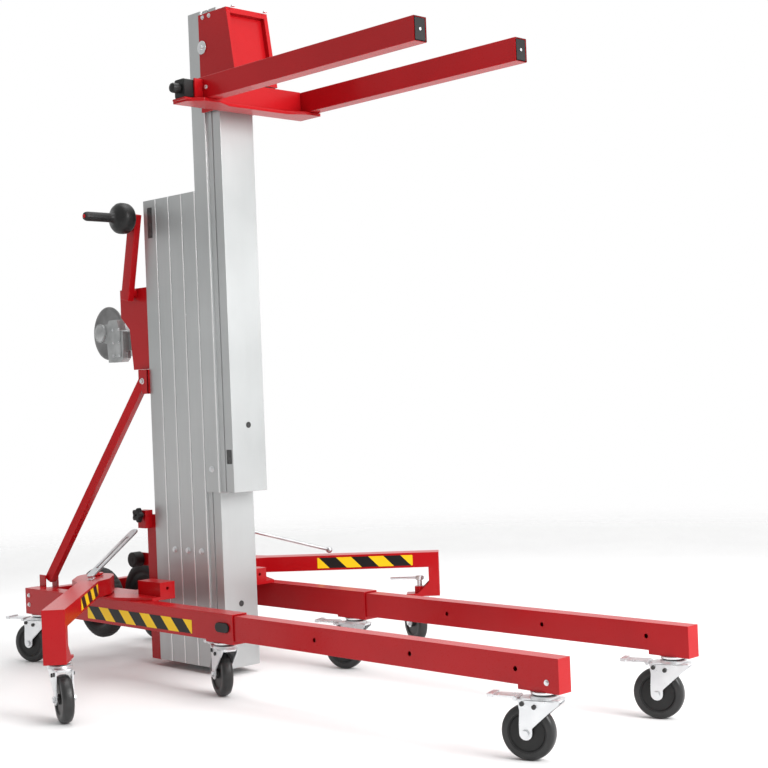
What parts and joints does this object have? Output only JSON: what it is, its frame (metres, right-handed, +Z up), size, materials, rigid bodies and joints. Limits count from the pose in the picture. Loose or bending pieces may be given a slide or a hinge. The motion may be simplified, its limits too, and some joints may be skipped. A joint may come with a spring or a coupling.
{
  "type": "drywall lift",
  "caption": "Material lift: wheeled base with sliding legs and swing-out stabilizers, a telescopic aluminium mast with a hand winch, and a pair of lifting forks.",
  "frame": {"origin": "on the floor, under the middle of the lift's bounding box", "axes": "+X towards the load, along the forks and legs; +Y to the operator's left when the operator stands behind the mast and faces the load; +Z up the mast"},
  "size_m": [2.2568, 1.486, 1.965],
  "materials": {
    "red_paint": "gloss powder coat",
    "aluminium": "satin anodised extrusion",
    "zinc": "bright zinc plate",
    "steel": "satin",
    "casting": "rough die casting",
    "black_plastic": "satin",
    "black_paint": "satin",
    "roller_rubber": "matte",
    "tyre_rubber": "matte"
  },
  "bodies": {
    "base": {"rail_near": "red_paint", "rail_far": "red_paint", "cross_tube_mid": "red_paint", "cross_tube_rear": "red_paint", "mast_frame": "red_paint", "brace": "red_paint", "transport_axle": "steel", "mast_column_1": "aluminium", "winch_bracket": "red_paint", "winch_housing": "casting", "winch_guard": "black_paint"},
    "leg_near": {"leg_near": "red_paint"},
    "leg_far": {"leg_far": "red_paint"},
    "lock_near": {"lock_button_near": "black_plastic"},
    "lock_far": {"lock_button_far": "black_plastic"},
    "stabilizer_near": {"stabilizer_near": "red_paint"},
    "stabilizer_far": {"stabilizer_far": "red_paint", "stay_far": "steel"},
    "stay_near": {"stay_near": "steel"},
    "screw_near": {"levelling_screw_near": "zinc"},
    "screw_far": {"levelling_screw_far": "zinc"},
    "stay_knob": {"stay_knob": "black_plastic"},
    "column_2": {"mast_column_2": "aluminium"},
    "column_3": {"mast_column_3": "aluminium"},
    "column_4": {"mast_column_4": "aluminium"},
    "carriage": {"mast_column_5": "aluminium", "head_shell": "red_paint", "head_axle": "zinc", "fork_crossbar": "red_paint", "fork_near": "red_paint", "fork_far": "red_paint"},
    "fork_latch": {"fork_latch_knob": "black_plastic"},
    "crank": {"crank_arm": "red_paint"},
    "crank_grip": {"crank_grip": "black_plastic"},
    "drum": {"winch_drum": "steel"},
    "transport_near": {"transport_wheel_near": "tyre_rubber"},
    "transport_far": {"transport_wheel_far": "tyre_rubber"},
    "roller": {"loading_roller": "roller_rubber"},
    "swivel_front_near": {"caster_fork_front_near": "zinc"},
    "wheel_front_near": {"caster_wheel_front_near": "tyre_rubber"},
    "pedal_front_near": {"caster_pedal_front_near": "zinc"},
    "swivel_front_far": {"caster_fork_front_far": "zinc"},
    "wheel_front_far": {"caster_wheel_front_far": "tyre_rubber"},
    "pedal_front_far": {"caster_pedal_front_far": "zinc"},
    "swivel_sleeve_near": {"caster_fork_sleeve_near": "zinc"},
    "wheel_sleeve_near": {"caster_wheel_sleeve_near": "tyre_rubber"},
    "pedal_sleeve_near": {"caster_pedal_sleeve_near": "zinc"},
    "swivel_sleeve_far": {"caster_fork_sleeve_far": "zinc"},
    "wheel_sleeve_far": {"caster_wheel_sleeve_far": "tyre_rubber"},
    "pedal_sleeve_far": {"caster_pedal_sleeve_far": "zinc"},
    "swivel_rear_near": {"caster_fork_rear_near": "zinc"},
    "wheel_rear_near": {"caster_wheel_rear_near": "tyre_rubber"},
    "pedal_rear_near": {"caster_pedal_rear_near": "zinc"},
    "swivel_rear_far": {"caster_fork_rear_far": "zinc"},
    "wheel_rear_far": {"caster_wheel_rear_far": "tyre_rubber"},
    "pedal_rear_far": {"caster_pedal_rear_far": "zinc"},
    "swivel_stabilizer_near": {"caster_fork_stabilizer_near": "zinc"},
    "wheel_stabilizer_near": {"caster_wheel_stabilizer_near": "tyre_rubber"},
    "swivel_stabilizer_far": {"caster_fork_stabilizer_far": "zinc"},
    "wheel_stabilizer_far": {"caster_wheel_stabilizer_far": "tyre_rubber"}
  },
  "joints": [
    {"name": "leg_near_slide", "type": "slide", "parent": "base", "child": "leg_near", "axis": [-1, 0, 0], "range_m": [0, 0.84]},
    {"name": "lock_near_press", "type": "slide", "parent": "base", "child": "lock_near", "axis": [0, 1, 0], "range_m": [0, 0.003], "stiffness_N_per_m": 400},
    {"name": "stabilizer_near_swing", "type": "hinge", "parent": "base", "child": "stabilizer_near", "pos_m": [-0.6856, -0.245, 0.272], "axis": [0, 0, 1], "range_deg": [-115, 20]},
    {"name": "levelling_near_turn", "type": "hinge", "parent": "stabilizer_near", "child": "screw_near", "pos_m": [-0.20627, -0.67659, 0.212], "axis": [0, 0, 1], "range_deg": [-120, 120]},
    {"name": "transport_near_roll", "type": "hinge", "parent": "base", "child": "transport_near", "pos_m": [-0.8916, -0.09, 0.18], "axis": [0, 1, 0], "continuous": true},
    {"name": "leg_far_slide", "type": "slide", "parent": "base", "child": "leg_far", "axis": [-1, 0, 0], "range_m": [0, 0.84]},
    {"name": "lock_far_press", "type": "slide", "parent": "base", "child": "lock_far", "axis": [0, -1, 0], "range_m": [0, 0.003], "stiffness_N_per_m": 400},
    {"name": "stabilizer_far_swing", "type": "hinge", "parent": "base", "child": "stabilizer_far", "pos_m": [-0.6856, 0.245, 0.272], "axis": [0, 0, -1], "range_deg": [-115, 20]},
    {"name": "levelling_far_turn", "type": "hinge", "parent": "stabilizer_far", "child": "screw_far", "pos_m": [-0.20627, 0.67659, 0.212], "axis": [0, 0, 1], "range_deg": [-120, 120]},
    {"name": "transport_far_roll", "type": "hinge", "parent": "base", "child": "transport_far", "pos_m": [-0.8916, 0.09, 0.18], "axis": [0, 1, 0], "continuous": true},
    {"name": "stay_near_fold", "type": "hinge", "parent": "stabilizer_near", "child": "stay_near", "pos_m": [-0.5886, -0.322, 0.314], "axis": [0.9534, 0.3018, 0], "range_deg": [0, 115]},
    {"name": "stay_knob_turn", "type": "hinge", "parent": "base", "child": "stay_knob", "pos_m": [-0.6506, -0.098, 0.47], "axis": [0, 1, 0], "continuous": true},
    {"name": "roller_turn", "type": "hinge", "parent": "base", "child": "roller", "pos_m": [-0.7586, 0, 0.32], "axis": [0, 1, 0], "continuous": true},
    {"name": "front_near_swivel", "type": "hinge", "parent": "leg_near", "child": "swivel_front_near", "pos_m": [1.0694, -0.247, 0.15], "axis": [0, 0, 1], "continuous": true},
    {"name": "front_near_roll", "type": "hinge", "parent": "swivel_front_near", "child": "wheel_front_near", "pos_m": [1.03276, -0.26034, 0.0625], "axis": [0.342, -0.9397, 0], "continuous": true},
    {"name": "front_near_pedal", "type": "hinge", "parent": "swivel_front_near", "child": "pedal_front_near", "pos_m": [1.01114, -0.26821, 0.137], "axis": [0.342, -0.9397, 0], "range_deg": [0, 8]},
    {"name": "front_far_swivel", "type": "hinge", "parent": "leg_far", "child": "swivel_front_far", "pos_m": [1.0694, 0.247, 0.15], "axis": [0, 0, 1], "continuous": true},
    {"name": "front_far_roll", "type": "hinge", "parent": "swivel_front_far", "child": "wheel_front_far", "pos_m": [1.03276, 0.23366, 0.0625], "axis": [0.342, -0.9397, 0], "continuous": true},
    {"name": "front_far_pedal", "type": "hinge", "parent": "swivel_front_far", "child": "pedal_front_far", "pos_m": [1.01114, 0.22579, 0.137], "axis": [0.342, -0.9397, 0], "range_deg": [0, 8]},
    {"name": "sleeve_near_swivel", "type": "hinge", "parent": "base", "child": "swivel_sleeve_near", "pos_m": [-0.0566, -0.247, 0.15], "axis": [0, 0, 1], "continuous": true},
    {"name": "sleeve_near_roll", "type": "hinge", "parent": "swivel_sleeve_near", "child": "wheel_sleeve_near", "pos_m": [-0.09324, -0.23366, 0.0625], "axis": [-0.342, -0.9397, 0], "continuous": true},
    {"name": "sleeve_near_pedal", "type": "hinge", "parent": "swivel_sleeve_near", "child": "pedal_sleeve_near", "pos_m": [-0.11486, -0.22579, 0.137], "axis": [-0.342, -0.9397, 0], "range_deg": [0, 8]},
    {"name": "sleeve_far_swivel", "type": "hinge", "parent": "base", "child": "swivel_sleeve_far", "pos_m": [-0.0566, 0.247, 0.15], "axis": [0, 0, 1], "continuous": true},
    {"name": "sleeve_far_roll", "type": "hinge", "parent": "swivel_sleeve_far", "child": "wheel_sleeve_far", "pos_m": [-0.09324, 0.23366, 0.0625], "axis": [0.342, -0.9397, 0], "continuous": true},
    {"name": "sleeve_far_pedal", "type": "hinge", "parent": "swivel_sleeve_far", "child": "pedal_sleeve_far", "pos_m": [-0.11486, 0.22579, 0.137], "axis": [0.342, -0.9397, 0], "range_deg": [0, 8]},
    {"name": "rear_near_swivel", "type": "hinge", "parent": "base", "child": "swivel_rear_near", "pos_m": [-1.0006, -0.247, 0.15], "axis": [0, 0, 1], "continuous": true},
    {"name": "rear_near_roll", "type": "hinge", "parent": "swivel_rear_near", "child": "wheel_rear_near", "pos_m": [-1.03724, -0.26034, 0.0625], "axis": [0.342, -0.9397, 0], "continuous": true},
    {"name": "rear_near_pedal", "type": "hinge", "parent": "swivel_rear_near", "child": "pedal_rear_near", "pos_m": [-1.05886, -0.26821, 0.137], "axis": [0.342, -0.9397, 0], "range_deg": [0, 8]},
    {"name": "rear_far_swivel", "type": "hinge", "parent": "base", "child": "swivel_rear_far", "pos_m": [-1.0006, 0.247, 0.15], "axis": [0, 0, 1], "continuous": true},
    {"name": "rear_far_roll", "type": "hinge", "parent": "swivel_rear_far", "child": "wheel_rear_far", "pos_m": [-1.03724, 0.23366, 0.0625], "axis": [0.342, -0.9397, 0], "continuous": true},
    {"name": "rear_far_pedal", "type": "hinge", "parent": "swivel_rear_far", "child": "pedal_rear_far", "pos_m": [-1.05886, 0.22579, 0.137], "axis": [0.342, -0.9397, 0], "range_deg": [0, 8]},
    {"name": "stabilizer_near_swivel", "type": "hinge", "parent": "stabilizer_near", "child": "swivel_stabilizer_near", "pos_m": [-0.20627, -0.67659, 0.15], "axis": [0, 0, 1], "continuous": true},
    {"name": "stabilizer_near_roll", "type": "hinge", "parent": "swivel_stabilizer_near", "child": "wheel_stabilizer_near", "pos_m": [-0.16962, -0.68993, 0.0625], "axis": [0.342, 0.9397, 0], "continuous": true},
    {"name": "stabilizer_far_swivel", "type": "hinge", "parent": "stabilizer_far", "child": "swivel_stabilizer_far", "pos_m": [-0.20627, 0.67659, 0.15], "axis": [0, 0, 1], "continuous": true},
    {"name": "stabilizer_far_roll", "type": "hinge", "parent": "swivel_stabilizer_far", "child": "wheel_stabilizer_far", "pos_m": [-0.24292, 0.68993, 0.0625], "axis": [-0.342, -0.9397, 0], "continuous": true},
    {"name": "mast_lift_2", "type": "slide", "parent": "base", "child": "column_2", "axis": [0, 0, 1], "range_m": [0, 1.1]},
    {"name": "mast_lift_3", "type": "slide", "parent": "column_2", "child": "column_3", "axis": [0, 0, 1], "range_m": [0, 1.1]},
    {"name": "mast_lift_4", "type": "slide", "parent": "column_3", "child": "column_4", "axis": [0, 0, 1], "range_m": [0, 1.1]},
    {"name": "mast_lift_5", "type": "slide", "parent": "column_4", "child": "carriage", "axis": [0, 0, 1], "range_m": [-0.523, 0.577]},
    {"name": "fork_latch_pull", "type": "slide", "parent": "carriage", "child": "fork_latch", "axis": [0, -1, 0], "range_m": [0, 0.012], "stiffness_N_per_m": 500},
    {"name": "crank_turn", "type": "hinge", "parent": "base", "child": "crank", "pos_m": [-0.6846, -0.08, 1.162], "axis": [0, 1, 0], "continuous": true},
    {"name": "crank_grip_spin", "type": "hinge", "parent": "crank", "child": "crank_grip", "pos_m": [-0.63241, -0.16, 1.38805], "axis": [0, 1, 0], "continuous": true},
    {"name": "drum_turn", "type": "hinge", "parent": "base", "child": "drum", "pos_m": [-0.8706, 0, 1.046], "axis": [0, 1, 0], "continuous": true}
  ],
  "couplings": [
    {"joint": "drum_turn", "follows": "crank_turn", "ratio": -0.25}
  ]
}
